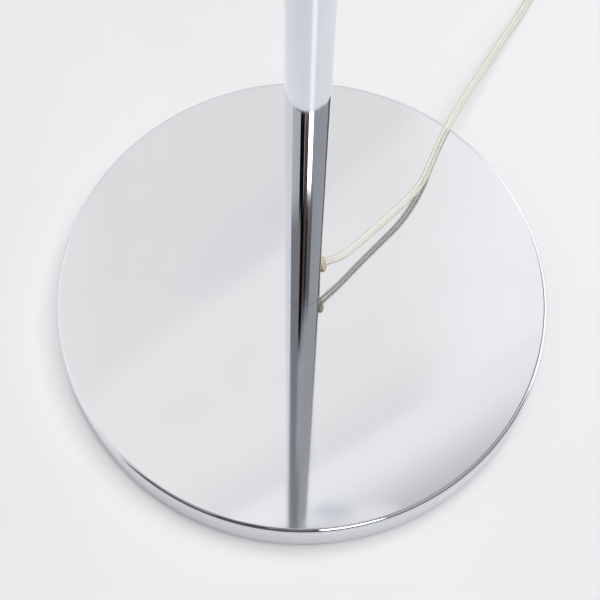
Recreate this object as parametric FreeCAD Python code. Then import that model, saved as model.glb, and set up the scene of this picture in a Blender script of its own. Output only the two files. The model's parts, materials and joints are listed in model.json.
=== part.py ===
"""Telescopic floor lamp: chromed disc base, two-part telescopic pole, drum shade.

Millimetres, +Z up. The origin is the centre of the round base on the floor. The cord leaves
the lower tube towards +X +Y, crosses the base and ends in a foot switch, a coil and a plug.
"""
import FreeCAD, Part

import math
import os

V = FreeCAD.Vector
UP = V(0, 0, 1)
ALONG_X = V(1, 0, 0)

# ---- driving dimensions -------------------------------------------------------------------
base_radius = 175.0
base_top = 34.5
base_edge_radius = 3.5
cover_wall = 1.2
cover_foot = 1.2  # the cover's lower edge stands this far off the floor
hem_width = 8.0
pad_thickness = 2.4
pad_radius = 165.0
plate_thickness = 1.2
plate_radius = 172.0
plate_hole = 20.0
plate_screw_circle = 120.0
plate_screw_count = 3
plate_screw_start = 30.0  # azimuth of the first one
weight_radius = 172.5
weight_top = 32.0
weight_boss_radius = 40.0
pocket_radius = 22.0
pocket_top = 16.0

stud_radius = 5.0
stud_play = 0.3
stud_bottom = 4.5
stud_top = 52.0
washer_thickness = 2.5
nut_height = 8.0
nut_across_flats = 17.0

lower_radius = 12.5
lower_wall = 1.2
lower_top = 830.0
foot_length = 22.0

upper_radius = 11.0
upper_wall = 1.0
upper_bottom = 620.0
upper_length = 950.0
upper_top = upper_bottom + upper_length
running_gap = 0.05
free_gap = 0.4

collar_bottom = 806.0
collar_radius = 16.0
bush_top = 853.0
collar_top = 856.0
bush_radius = 13.45
knob_height = 842.0
boss_radius = 8.0
boss_end = 22.0
grub_height = collar_bottom + 10.5
knob_radius = 12.0
knob_start = boss_end + free_gap
knob_end = knob_start + 16.0
knob_face = 3.5  # thickness of the knob in front of its screw
knob_flutes = 14
screw_radius = 3.0
tip_radius = 2.5
tip_start = upper_radius + 1.6

guide_head = 24.0
guide_spigot = 22.0
guide_bore = 6.0
guide_band = 8.0

slack_bottom = 104.0
slack_top = upper_bottom - guide_head
slack_sway = 7.5
slack_turns = 7

holder_base = upper_top + 3.0
holder_joint = holder_base + 31.0
holder_top = holder_joint + 38.0
holder_radius = 19.5
holder_wall = 2.2
seat_wall = 1.5
thread_radius = 19.9
flange_radius = 22.5
flange_height = 3.0

shade_radius = 175.0
shade_wall = 1.2
shade_height = 220.0
shade_bottom = 1562.0
shade_top = shade_bottom + shade_height
ring_wire = 1.6
ring_reach = shade_radius - shade_wall - ring_wire
arm_wire = 2.0
carrier_wall = 1.5
arm_angles = (90.0, 210.0, 330.0)

bulb_cap_bottom = holder_joint + 9.5
bulb_cap_radius = 13.2
bulb_neck_bottom = bulb_cap_bottom + 27.0
bulb_radius = 30.0
bulb_wall = 1.0

cord_radius = 2.8  # half the width of the flat twin lead
exit_height = 71.0
exit_azimuth = 22.0
exit_hole = 4.8

switch_centre = V(82, 372, 0)
switch_length = 70.0
switch_width = 42.0
switch_split = 9.0
switch_height = 24.0
switch_floor = 2.0
switch_screw_reach = 26.0
gland_length = 14.5
gland_plug = 5.5  # how far a gland reaches into the housing
gland_seat = 4.6
button_radius = 14.2
spring_turns = 4
spring_wire = 0.55
spring_radius = 7.0
spring_foot = 5.4
spring_pitch = 2.55

coil_centre = V(-26, 334, 0)
coil_turns = 6
coil_middle = 30.0  # radius at the middle of the turns
coil_pitch = 6.3
coil_bed = 2.9  # height of the lowest turns' centre line

plug_rear = V(-86, 372, 6.9)
plug_neck = 20.0
neck_ribs = 5
neck_rib_pitch = 3.9
plug_length = 34.0
plug_width = 35.0
plug_thickness = 13.5
pin_length = 19.0
pin_radius = 2.0
pin_spacing = 18.6


# ---- drawing helpers ----------------------------------------------------------------------
def corner_arc(before, corner, after, radius):
    """Start, middle and end of the arc that rounds a corner."""
    back = (before - corner).normalize()
    on = (after - corner).normalize()
    half = back.getAngle(on) / 2
    reach = radius / math.tan(half)
    bisector = (back + on).normalize()
    centre = corner + bisector * (radius / math.sin(half))
    return [corner + back * reach, centre - bisector * radius, corner + on * reach]


def closed_wire(corners):
    """A closed wire through (point, radius) corners, each rounded where its radius isn't 0."""
    ends = []
    for i, (corner, radius) in enumerate(corners):
        before = corners[i - 1][0]
        after = corners[(i + 1) % len(corners)][0]
        ends.append(corner_arc(before, corner, after, radius) if radius else [corner])
    edges = []
    for i, here in enumerate(ends):
        following = ends[(i + 1) % len(ends)]
        if len(here) == 3:
            edges.append(Part.Arc(*here).toShape())
        if here[-1].distanceToPoint(following[0]) > 1e-6:
            edges.append(Part.LineSegment(here[-1], following[0]).toShape())
    return Part.Wire(edges)


def turned(profile):
    """A solid turned about Z from (radius, height) corners; a third value rounds a corner."""
    corners = [(V(p[0], 0, p[1]), p[2] if len(p) > 2 else 0) for p in profile]
    return Part.Face(closed_wire(corners)).revolve(V(), UP, 360)


def tube(outer, inner, bottom, top):
    return turned([(inner, bottom), (outer, bottom), (outer, top), (inner, top)])


def cylinder(radius, height, at, direction=UP):
    return Part.makeCylinder(radius, height, at, direction)


def around(count, start=0.0):
    return [start + 360.0 * i / count for i in range(count)]


def polar(radius, degrees, height=0.0):
    angle = math.radians(degrees)
    return V(radius * math.cos(angle), radius * math.sin(angle), height)


def turned_to(shape, direction, at):
    """A shape made about Z, laid along another direction and moved."""
    shape.Placement = FreeCAD.Placement(at, FreeCAD.Rotation(UP, direction))
    return shape


def cut_all(shape, tools):
    return shape.cut(Part.makeCompound(tools))


def hexagon(across_flats, height, bottom):
    corners = [(polar(across_flats / math.sqrt(3), a, bottom), 0) for a in around(6)]
    return Part.Face(closed_wire(corners)).extrude(V(0, 0, height))


def stadium(length, width, height):
    """A level outline with straight sides and half-round ends, about the switch's centre."""
    half = width / 2
    reach = length / 2 - half
    centre = switch_centre + V(0, 0, height)
    right_low, right_high = centre + V(reach, -half, 0), centre + V(reach, half, 0)
    left_low, left_high = centre + V(-reach, -half, 0), centre + V(-reach, half, 0)
    return Part.Wire([
        Part.LineSegment(left_low, right_low).toShape(),
        Part.Arc(right_low, centre + V(length / 2, 0, 0), right_high).toShape(),
        Part.LineSegment(right_high, left_high).toShape(),
        Part.Arc(left_high, centre - V(length / 2, 0, 0), left_low).toShape(),
    ])


# ---- cords --------------------------------------------------------------------------------
def route_wire(name, points):
    """Straight runs joined by arcs, each as large as its two runs allow."""
    edges = []
    radii = []
    start = points[0]
    for before, corner, after in zip(points, points[1:], points[2:]):
        back, on = before - corner, after - corner
        half = back.getAngle(on) / 2
        radius = 0.45 * min(back.Length, on.Length) * math.tan(half)
        radii.append(round(radius))
        arc = corner_arc(before, corner, after, radius)
        edges.append(Part.LineSegment(start, arc[0]).toShape())
        edges.append(Part.Arc(*arc).toShape())
        start = arc[2]
    edges.append(Part.LineSegment(start, points[-1]).toShape())
    wire = Part.Wire(edges)
    print(name, "length", round(wire.Length, 1), "arc radii", radii)
    return wire


def swept(name, wire, start, heading, radius):
    """A round solid swept along a wire, with its volume set against section times length."""
    section = Part.Wire([Part.Circle(start, heading, radius).toShape()])
    solid = wire.makePipeShell([section], True, False)
    ideal = math.pi * radius ** 2 * wire.Length
    print(name, "valid", solid.isValid(), "volume share", round(solid.Volume / ideal, 4))
    return solid


def cord_tube(name, points, radius=cord_radius):
    wire = route_wire(name, points)
    return swept(name, wire, points[0], points[1] - points[0], radius)


def biarc(start, start_way, end, end_way):
    """Two tangent arcs from one point and heading to another."""
    chord = end - start
    ways = start_way + end_way
    a = 2 * (1 - start_way.dot(end_way))
    b = 2 * chord.dot(ways)
    reach = (-b + math.sqrt(b * b + 4 * a * chord.dot(chord))) / (2 * a)
    first, last = start + start_way * reach, end - end_way * reach
    joint = (first + last) / 2
    arcs = []
    for near, corner, far in ((start, first, joint), (joint, last, end)):
        half = (near - corner).getAngle(far - corner) / 2
        drop = (near - corner).Length * (1 - math.sin(half)) / math.cos(half)
        inward = ((near + far) / 2 - corner).normalize()
        arcs.append(Part.Arc(near, corner + inward * drop, far).toShape())
    return arcs


def wound_wire(place, turns, per_turn=4, lead=0.0):
    """Biarcs through place(turn), a formula; the ends run on straight by lead."""
    steps = [i / per_turn for i in range(int(turns * per_turn) + 1)]
    points = [place(u) for u in steps]
    ways = [(place(u + 1e-3) - place(u - 1e-3)).normalize() for u in steps]
    start = points[0] - ways[0] * lead
    end = points[-1] + ways[-1] * lead
    edges = []
    for i in range(len(steps) - 1):
        edges += biarc(points[i], ways[i], points[i + 1], ways[i + 1])
    if lead:
        edges.insert(0, Part.LineSegment(start, points[0]).toShape())
        edges.append(Part.LineSegment(points[-1], end).toShape())
    return Part.Wire(edges), (start, ways[0]), (end, ways[-1])


def least_gap(place, turns, radius, per_turn=72):
    """The least distance between the surfaces of different turns, on points."""
    points = [place(i / per_turn) for i in range(int(turns * per_turn) + 1)]
    away = per_turn // 3
    return min(
        p.distanceToPoint(q) for i, p in enumerate(points) for q in points[i + away:]
    ) - 2 * radius


def coil_place(turn):
    """The coil's centre line: in along the floor, up a layer, and out again on top."""
    per_layer = coil_turns / 2
    inner = coil_middle - coil_pitch * per_layer / 2
    back = abs(turn - per_layer)
    climb = min(max((turn - per_layer + 0.25) * 2, 0.0), 1.0)
    smooth = climb * climb * (3 - 2 * climb)
    level = coil_bed + coil_pitch * smooth
    return coil_centre + polar(inner + coil_pitch * back, 90 + 360 * turn, level)


exit_out = polar(1, exit_azimuth)
exit_point = exit_out * (lower_radius - lower_wall / 2) + V(0, 0, exit_height)
slant = (exit_out * 0.84 + polar(0.2, exit_azimuth + 90) - UP * 0.6).normalize()
gland_right = switch_centre + V(switch_length / 2 + gland_length, 0, switch_split)
gland_left = switch_centre + V(-switch_length / 2 - gland_length, 0, switch_split)

run_route = [
    exit_point,
    exit_point + slant * 7.5,
    V(26.5, 15.5, 60.0),
    V(37.0, 26.5, 55.0),
    V(54.0, 45.0, 52.5),
    V(73.0, 65.5, 50.5),
    V(86.0, 86.0, 45.0),
    V(93.5, 108.0, 43.2),
    V(103.0, 131.0, 43.6),
    V(112.5, 150.5, 42.2),
    V(122.0, 170.0, 34.0),
    V(137.5, 200.0, 24.0),
    V(155.5, 235.0, 15.5),
    V(174.5, 268.0, 9.5),
    V(188.0, 298.0, 4.6),
    V(192.5, 323.0, 3.2),
    V(185.0, 345.0, 3.0),
    V(168.5, 362.0, 4.0),
    V(151.0, 370.5, 6.8),
    gland_right + V(9.5, 0, 0),
    gland_right,
]


coil_wire, coil_entry, coil_exit = wound_wire(coil_place, coil_turns, lead=2 * cord_radius)

lead_route = [
    gland_left,
    gland_left + V(-9.5, 0, 0),
    gland_left + V(-26.0, -0.3, -3.4),
    coil_entry[0] - coil_entry[1] * 9.0,
    coil_entry[0],
]

tail_route = [
    coil_exit[0],
    coil_exit[0] + coil_exit[1] * 9.0,
    plug_rear + V(27.5, -0.6, 0.9),
    plug_rear + V(9.5, 0, 0),
    plug_rear,
]


# ---- base ---------------------------------------------------------------------------------
def plate_screw_places(height=0.0):
    angles = around(plate_screw_count, plate_screw_start)
    return [polar(plate_screw_circle, a, height) for a in angles]


def base_cover():
    """Drawn steel shell with a rolled top edge and a hem turned in at the floor."""
    inner = base_radius - cover_wall
    under = base_top - cover_wall
    hem = cover_foot + cover_wall
    return turned([
        (stud_radius + stud_play, base_top), (base_radius, base_top, base_edge_radius),
        (base_radius, cover_foot, 1.5), (base_radius - hem_width, cover_foot),
        (base_radius - hem_width, hem), (inner, hem, 0.3),
        (inner, under, base_edge_radius - cover_wall), (stud_radius + stud_play, under),
    ])


def base_weight():
    """Cast disc with a raised seat under the pole and a pocket for the nut."""
    floor = pad_thickness + plate_thickness
    bore = stud_radius + 0.5
    body = turned([
        (pocket_radius, floor, 1.5), (weight_radius - 2, floor, 2.0),
        (weight_radius, weight_top - 4, 4.0), (weight_boss_radius + 6, weight_top, 3.0),
        (weight_boss_radius, base_top - cover_wall), (bore, base_top - cover_wall),
        (bore, pocket_top), (pocket_radius, pocket_top, 1.5),
    ])
    return cut_all(body, [cylinder(2.6, 15, place) for place in plate_screw_places(floor)])


def base_plate():
    plate = tube(plate_radius, plate_hole, pad_thickness, pad_thickness + plate_thickness)
    return cut_all(plate, [cylinder(2.7, 4, place) for place in plate_screw_places(1)])


def base_pad():
    pad = turned([
        (pocket_radius + 2, 0), (pad_radius, 0, 0.6),
        (pad_radius, pad_thickness), (pocket_radius + 2, pad_thickness),
    ])
    return cut_all(pad, [cylinder(6.5, 4, place) for place in plate_screw_places(-1)])


def plate_screws():
    screws = []
    for place in plate_screw_places():
        screw = turned([
            (0, 0.5), (4.8, 0.5, 1.0), (4.8, pad_thickness), (2.5, pad_thickness),
            (2.5, 15.0), (1.5, 16.5), (0, 16.5),
        ])
        screw.translate(place)
        screws.append(screw)
    return Part.makeCompound(screws)


def pole_stud():
    return turned([
        (0, stud_bottom), (stud_radius - 0.8, stud_bottom), (stud_radius, stud_bottom + 0.8),
        (stud_radius, stud_top - 0.8), (stud_radius - 0.8, stud_top), (0, stud_top),
    ])


def stud_washer():
    return tube(18.0, stud_radius + stud_play, pocket_top - washer_thickness, pocket_top)


def stud_nut():
    top = pocket_top - washer_thickness
    low = top - nut_height
    blank = hexagon(nut_across_flats, nut_height, low)
    crown = turned([(0, low), (8.6, low), (10.2, low + 1), (10.2, top), (0, top)])
    return blank.common(crown).cut(cylinder(stud_radius, nut_height, V(0, 0, low)))


def pole_foot():
    """Turned plug pressed into the tube's end and tapped for the stud."""
    outer = lower_radius - lower_wall - running_gap
    return turned([
        (stud_radius, base_top), (outer, base_top), (outer, base_top + foot_length - 1.5),
        (outer - 1.5, base_top + foot_length), (stud_radius + 1, base_top + foot_length),
        (stud_radius, base_top + foot_length - 1),
    ])


# ---- lower pole ---------------------------------------------------------------------------
def lower_tube():
    inner = lower_radius - lower_wall
    pipe = turned([
        (inner, base_top), (lower_radius - 0.4, base_top), (lower_radius, base_top + 0.4),
        (lower_radius, lower_top), (inner, lower_top),
    ])
    hole = cylinder(exit_hole, lower_radius, V(0, 0, exit_height), exit_out)
    return pipe.cut(hole)


def cord_grommet():
    """Soft grommet in the tube's wall: domed flange outside, lip inside, slanting way through."""
    inside = lower_radius - lower_wall
    body = turned([
        (0, inside - 2.2), (exit_hole + 0.8, inside - 2.2, 0.6), (exit_hole + 0.8, inside - 0.5),
        (exit_hole - running_gap, inside - 0.2), (exit_hole - running_gap, lower_radius),
        (exit_hole + 1.9, lower_radius - 0.6), (exit_hole + 1.7, lower_radius + 1.2, 0.7),
        (exit_hole - 0.6, lower_radius + 3.2, 0.8), (0, lower_radius + 3.2),
    ])
    body = turned_to(body, exit_out, V(0, 0, exit_height))
    wall = tube(lower_radius, inside, exit_height - 20, exit_height + 20)
    hole = cylinder(exit_hole, 2 * lower_radius, V(0, 0, exit_height), exit_out)
    way = cylinder(cord_radius + running_gap, 30, exit_point - slant * 15, slant)
    return body.cut(wall.cut(hole)).cut(way)


def lower_lead():
    """Lead inside the tube, from the grommet up to the slack length."""
    return cord_tube("lower_lead", [
        exit_point, exit_point - slant * 11.0,
        V(0, 0, slack_bottom - 14), V(0, 0, slack_bottom),
    ])


def slack_place(turn):
    """The slack's centre line: an easy helix that starts and ends on the pole's axis."""
    swell = min(turn, slack_turns - turn, 1.0)
    smooth = swell * swell * (3 - 2 * swell)
    rise = (slack_top - slack_bottom) / slack_turns
    return polar(slack_sway * smooth, 360 * turn, slack_bottom + rise * turn)


def slack_lead():
    """Slack that takes up the telescope's travel: wide turns inside the lower tube."""
    wire, start, _ = wound_wire(slack_place, slack_turns)
    gap = least_gap(slack_place, slack_turns, cord_radius)
    print("slack_lead length", round(wire.Length, 1), "least gap", round(gap, 2))
    return swept("slack_lead", wire, *start, cord_radius)


def clamp_collar():
    """Turned collar on the tube's end, with the bush's seat and a boss for the screw."""
    body = turned([
        (lower_radius + running_gap, collar_bottom), (lower_radius + 1.2, collar_bottom, 0.4),
        (collar_radius, collar_bottom + 5, 1.5), (collar_radius, collar_bottom + 17),
        (collar_radius - 0.7, collar_bottom + 17.7), (collar_radius - 0.7, collar_bottom + 19.3),
        (collar_radius, collar_bottom + 20), (collar_radius, collar_top, 3.0),
        (upper_radius + free_gap, collar_top), (upper_radius + free_gap, bush_top),
        (bush_radius + running_gap, bush_top), (bush_radius + running_gap, lower_top),
        (lower_radius + running_gap, lower_top),
    ])
    boss = turned([(0, 0), (boss_radius, 0), (boss_radius, boss_end, 1.0), (0, boss_end)])
    boss = turned_to(boss, ALONG_X, V(0, 0, knob_height))
    core = cylinder(bush_radius + running_gap, bush_top - lower_top, V(0, 0, lower_top))
    body = body.fuse(boss.cut(core)).removeSplitter()
    holes = [
        cylinder(screw_radius + 0.08, boss_end + 1, V(0, 0, knob_height), ALONG_X),
        cylinder(2.0, 40, V(0, -20, grub_height), V(0, 1, 0)),
    ]
    return cut_all(body, holes)


def collar_screws():
    """Two small set screws that hold the collar on the tube."""
    screws = []
    for way in (V(0, 1, 0), V(0, -1, 0)):
        screw = turned([
            (0, lower_radius), (1.2, lower_radius), (1.9, lower_radius + 0.7),
            (1.9, collar_radius - 0.3), (1.0, collar_radius - 0.3),
            (1.0, collar_radius - 1.8), (0, collar_radius - 1.8),
        ])
        screws.append(turned_to(screw, way, V(0, 0, grub_height)))
    return Part.makeCompound(screws)


def collar_bush():
    """Plastic bush that guides the upper tube."""
    bush = turned([
        (upper_radius + running_gap, lower_top), (bush_radius, lower_top),
        (bush_radius, bush_top), (upper_radius + running_gap, bush_top),
    ])
    way = cylinder(screw_radius + 0.3, 20, V(0, 0, knob_height), ALONG_X)
    return bush.cut(way)


# ---- clamp knob ---------------------------------------------------------------------------
def knob_grip():
    """Fluted hand knob with a waist towards the collar and a dished face."""
    start, end = knob_start, knob_end
    dish = end - 1.0
    body = turned([
        (screw_radius, start), (6.5, start, 0.5), (7.0, start + 2.5),
        (knob_radius, start + 4.5, 1.2), (knob_radius, end, 1.6), (7.5, end), (6.0, dish),
        (0, dish), (0, dish - knob_face), (screw_radius, dish - knob_face),
    ])
    flutes = [
        cylinder(1.7, end - start, polar(knob_radius + 0.9, a, start + 2.6))
        for a in around(knob_flutes)
    ]
    return turned_to(cut_all(body, flutes), ALONG_X, V(0, 0, knob_height))


def knob_screw():
    end = knob_end - 1.0 - knob_face
    screw = turned([
        (1.6, tip_start - 0.4), (tip_radius, tip_start - 0.4), (screw_radius, tip_start + 0.2),
        (screw_radius, end), (0, end), (0, tip_start + 2.0), (1.6, tip_start + 2.0),
    ])
    return turned_to(screw, ALONG_X, V(0, 0, knob_height))


def knob_tip():
    """Soft tip that bears on the upper tube without marking it."""
    tip = turned([
        (0, upper_radius + 0.06), (2.3, upper_radius + 0.3), (tip_radius, tip_start - 0.4),
        (1.6, tip_start - 0.4), (1.6, tip_start + 2.0), (0, tip_start + 2.0),
    ])
    return turned_to(tip, ALONG_X, V(0, 0, knob_height))


# ---- upper pole ---------------------------------------------------------------------------
def slide_guide():
    """Plastic guide under the upper tube: its head runs in the lower tube."""
    head = lower_radius - lower_wall - running_gap
    spigot = upper_radius - upper_wall - running_gap
    low = upper_bottom - guide_head
    top = upper_bottom - running_gap
    return turned([
        (guide_bore, low, 1.0), (head, low, 1.2),
        (head, low + guide_band), (head - 0.6, low + guide_band + 0.6),
        (head - 0.6, top - guide_band - 0.6), (head, top - guide_band), (head, top),
        (spigot, top), (spigot, upper_bottom + guide_spigot, 0.8),
        (guide_bore, upper_bottom + guide_spigot),
    ])


def upper_tube():
    return tube(upper_radius, upper_radius - upper_wall, upper_bottom, upper_top)


def tube_head():
    """Turned insert in the tube's top, tapped for the nipple."""
    spigot = upper_radius - upper_wall - 0.02
    return turned([
        (stud_radius, upper_top - 16), (spigot - 1, upper_top - 16), (spigot, upper_top - 15),
        (spigot, upper_top), (upper_radius, upper_top), (upper_radius, holder_base, 0.5),
        (stud_radius, holder_base),
    ])


def nipple():
    return tube(stud_radius, 3.5, upper_top - 20, holder_base + 16)


def nipple_nut():
    bottom = holder_base + 4.0
    blank = hexagon(14.0, 3.5, bottom)
    return blank.cut(cylinder(stud_radius, 10, V(0, 0, bottom - 1)))


def upper_lead():
    """Lead through the upper tube and the nipple to the lampholder."""
    bottom = upper_bottom - guide_head
    return cylinder(cord_radius, holder_base + 22 - bottom, V(0, 0, bottom))


def holder_seat():
    """Polished cup under the lampholder."""
    return turned([
        (stud_radius, holder_base), (13.0, holder_base, 3.0), (20.6, holder_base + 5.5, 2.0),
        (20.6, holder_base + 9.5), (19.4, holder_base + 9.5), (19.4, holder_base + 6.0, 1.5),
        (12.6, holder_base + seat_wall, 2.0), (stud_radius, holder_base + seat_wall),
    ])


def holder_cap():
    """Lower half of the lampholder, screwed down on the nipple."""
    floor = holder_base + seat_wall
    inner = holder_radius - holder_wall
    return turned([
        (stud_radius, floor), (12.0, floor, 1.5), (18.6, floor + 5.5, 1.5),
        (18.6, floor + 9.0), (holder_radius, floor + 10.0), (holder_radius, holder_joint),
        (inner, holder_joint), (inner, floor + 9.5, 2.0),
        (11.5, floor + 2.5, 1.0), (stud_radius, floor + 2.5),
    ])


def holder_shell():
    """Upper half of the lampholder: flange, band for the shade nut, mouth for the bulb."""
    low = holder_joint
    relief = thread_radius - 1.0
    inner = holder_radius - holder_wall
    return turned([
        (14.6, holder_top), (relief, holder_top, 0.6), (relief, low + 35),
        (thread_radius, low + 34), (thread_radius, low + flange_height + 2),
        (relief, low + flange_height + 1), (relief, low + flange_height),
        (flange_radius, low + flange_height, 0.5), (flange_radius, low), (inner, low),
        (inner, low + 12), (17.0, low + 34, 1.0), (14.6, low + 35.5),
    ])


def holder_block():
    """Ceramic contact block inside the lampholder."""
    low = holder_joint - 12
    block = turned([(3.2, low), (16.8, low, 1.0), (16.8, holder_joint + 4), (3.2, holder_joint + 4)])
    slots = [Part.makeBox(9, 5, 8, V(-4.5, side - 2.5, low - 1)) for side in (-11.5, 11.5)]
    return cut_all(block, slots)


def thread_sleeve():
    """Brass screw shell that takes the lamp's cap."""
    low = holder_joint + 4
    return tube(14.1, 13.3, low, low + 24)


def centre_contact():
    """Sprung brass strip under the lamp's centre contact."""
    low = holder_joint + 4
    strip = Part.Face(closed_wire([
        (V(-9, -3, low), 0), (V(-9, -3, low + 0.6), 0), (V(-5, -3, low + 0.6), 1.0),
        (V(-1.5, -3, bulb_cap_bottom - 1.8), 1.0), (V(3.5, -3, bulb_cap_bottom - 1.8), 0),
        (V(3.5, -3, bulb_cap_bottom - 2.4), 0), (V(-1.2, -3, bulb_cap_bottom - 2.4), 1.0),
        (V(-4.8, -3, low), 0.8),
    ]))
    return strip.extrude(V(0, 6, 0))


# ---- lamp bulb ----------------------------------------------------------------------------
def bulb_cap():
    """Screw cap with its tapering end and a groove under the rim that holds the glass."""
    low = bulb_cap_bottom
    return turned([
        (0, low), (4.5, low), (6.0, low + 1.0), (12.0, low + 3.5, 1.0), (13.1, low + 6.0, 0.8),
        (13.1, low + 22.5, 0.5), (12.1, low + 23.8, 0.4), (bulb_cap_radius, low + 25.2, 0.4),
        (bulb_cap_radius, bulb_neck_bottom), (0, bulb_neck_bottom),
    ])


def bulb_contact():
    return turned([
        (0, bulb_cap_bottom - 1.7), (3.0, bulb_cap_bottom - 1.7, 0.6),
        (4.2, bulb_cap_bottom), (0, bulb_cap_bottom),
    ])


def on_side(middle, radius, degrees):
    angle = math.radians(degrees)
    return middle + V(radius * math.cos(angle), 0, radius * math.sin(angle))


def bulb_outline(inset):
    """Points of the envelope: straight neck, flare, ball; inset gives the inner surface."""
    neck = 12.9 - inset
    ball = bulb_radius - inset
    centre = bulb_neck_bottom + 53.0
    join = math.radians(41)
    meet = V(ball * math.cos(join), 0, centre - ball * math.sin(join))
    flare = (meet.x - neck) / (1 - math.cos(join))
    flare_start = V(neck, 0, meet.z - flare * math.sin(join))
    half = join / 2
    flare_middle = V(neck + flare * (1 - math.cos(half)), 0, flare_start.z + flare * math.sin(half))
    middle = V(0, 0, centre)
    low_side, side, shoulder = [on_side(middle, ball, a) for a in (-20, 0, 50)]
    top = V(0, 0, centre + ball)
    return V(neck, 0, bulb_neck_bottom), flare_start, flare_middle, meet, low_side, side, shoulder, top


def bulb_glass():
    """Blown envelope, open at the neck where it meets the stem."""
    edges = []
    ends = []
    for inset in (0.0, bulb_wall):
        foot, flare_start, flare_middle, meet, low_side, side, shoulder, top = bulb_outline(inset)
        edges.append(Part.LineSegment(foot, flare_start).toShape())
        edges.append(Part.Arc(flare_start, flare_middle, meet).toShape())
        edges.append(Part.Arc(meet, low_side, side).toShape())
        edges.append(Part.Arc(side, shoulder, top).toShape())
        ends.append((foot, top))
    edges += [Part.LineSegment(outer, inner).toShape() for outer, inner in zip(*ends)]
    face = Part.Face(Part.Wire(Part.__sortEdges__(edges)))
    return face.revolve(V(), UP, 360)


def bulb_stem():
    low = bulb_neck_bottom
    return turned([
        (0, low), (9.5, low, 1.0), (4.5, low + 9, 3.0), (2.6, low + 26, 1.0), (0, low + 30),
    ])


def bulb_filaments():
    """Four upright light strips that lean outwards round the stem."""
    low = bulb_neck_bottom
    strips = []
    for angle in around(4, 45):
        foot = polar(7.5, angle, low + 25.8)
        head = polar(4.0, angle + 30, low + 62)
        strips.append(cylinder(0.9, foot.distanceToPoint(head), foot, head - foot))
    cap = cylinder(5.5, 1.2, V(0, 0, low + 62.0))
    collar = tube(8.6, 2.8, low + 24.4, low + 25.8)
    return cap.fuse(strips + [collar])


# ---- shade --------------------------------------------------------------------------------
def shade_nut():
    """Threaded ring that clamps the shade's carrier on the lampholder."""
    low = holder_joint + flange_height + carrier_wall
    bore = thread_radius + 0.15
    body = turned([
        (bore, low), (28.5, low, 0.5), (28.5, low + 2.2, 0.5), (24.0, low + 2.6),
        (24.0, low + 9.0, 0.6), (bore, low + 9.0),
    ])
    grips = [cylinder(1.6, 8, polar(24.9, a, low + 2.7)) for a in around(12)]
    return cut_all(body, grips)


def ring(height):
    return Part.makeTorus(ring_reach, ring_wire, V(0, 0, height))


def shade_bottom_ring():
    return ring(shade_bottom + ring_wire)


def shade_top_ring():
    return ring(shade_top - ring_wire)


def shade_spider():
    """Carrier washer with three arms that reach down and out to the bottom ring."""
    low = holder_joint + flange_height
    level = low + carrier_wall / 2
    bore = thread_radius + 0.3
    spider = tube(27.5, bore, low, low + carrier_wall)
    for angle in arm_angles:
        outward = polar(1, angle)
        points = [
            outward * 24.5 + V(0, 0, level),
            outward * (ring_reach - 62) + V(0, 0, level - 2.5),
            outward * (ring_reach - 22) + V(0, 0, level - 22),
            outward * ring_reach + V(0, 0, shade_bottom + ring_wire),
        ]
        spider = spider.fuse(cord_tube("arm", points, arm_wire))
    return cut_all(spider, [
        ring(shade_bottom + ring_wire),
        tube(shade_radius, ring_reach, shade_bottom - 5, shade_bottom + 12),
        cylinder(bore, 12, V(0, 0, low - 4)),
        cylinder(flange_radius + 0.2, 6, V(0, 0, low - 6)),
        tube(28.7, bore, low + carrier_wall, low + 12),
    ])


def shade_drum():
    """Laminated fabric drum, rolled over the two rings at its edges."""
    inner = shade_radius - shade_wall
    return turned([
        (inner, shade_bottom), (shade_radius, shade_bottom, 0.4),
        (shade_radius, shade_top, 0.4), (inner, shade_top),
    ])


# ---- cord, foot switch and plug -----------------------------------------------------------
def cord_run():
    return cord_tube("cord_run", run_route)


def cord_lead():
    return cord_tube("cord_lead", lead_route)


def cord_coil():
    """Put-away length: turns that spiral in on the floor and out again on top of them."""
    gap = least_gap(coil_place, coil_turns, cord_radius)
    print("cord_coil length", round(coil_wire.Length, 1), "least gap", round(gap, 2))
    return swept("cord_coil", coil_wire, *coil_entry, cord_radius)


def cord_tail():
    """From the coil's last turn down to the plug."""
    return cord_tube("cord_tail", tail_route)


def switch_screw_places(height=0.0):
    return [switch_centre + V(x, 0, height) for x in (-switch_screw_reach, switch_screw_reach)]


def switch_base():
    """Lower shell of the foot switch, flat on the floor."""
    outside = Part.makeLoft([
        stadium(switch_length - 3, switch_width - 3, 0),
        stadium(switch_length, switch_width, switch_floor),
        stadium(switch_length, switch_width, switch_split),
    ], True, True)
    hollow = Part.Face(stadium(switch_length - 4, switch_width - 4, switch_floor))
    inside = hollow.extrude(V(0, 0, switch_split))
    shell = outside.cut(inside)
    shell = shell.fuse([cylinder(3.6, 6.6, place) for place in switch_screw_places(switch_floor)])
    holes = [cylinder(1.6, 12, place) for place in switch_screw_places(1.4)]
    heads = [cylinder(2.9, 1.4, place) for place in switch_screw_places()]
    return cut_all(shell, holes + heads + gland_seats())


def gland_seats():
    """Round seats for the two cord glands, one in each end of the housing."""
    reach = switch_length / 2 - gland_plug - 0.5
    return [
        cylinder(gland_seat, 8, switch_centre + V(way * reach, 0, switch_split), ALONG_X * way)
        for way in (1, -1)
    ]


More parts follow.
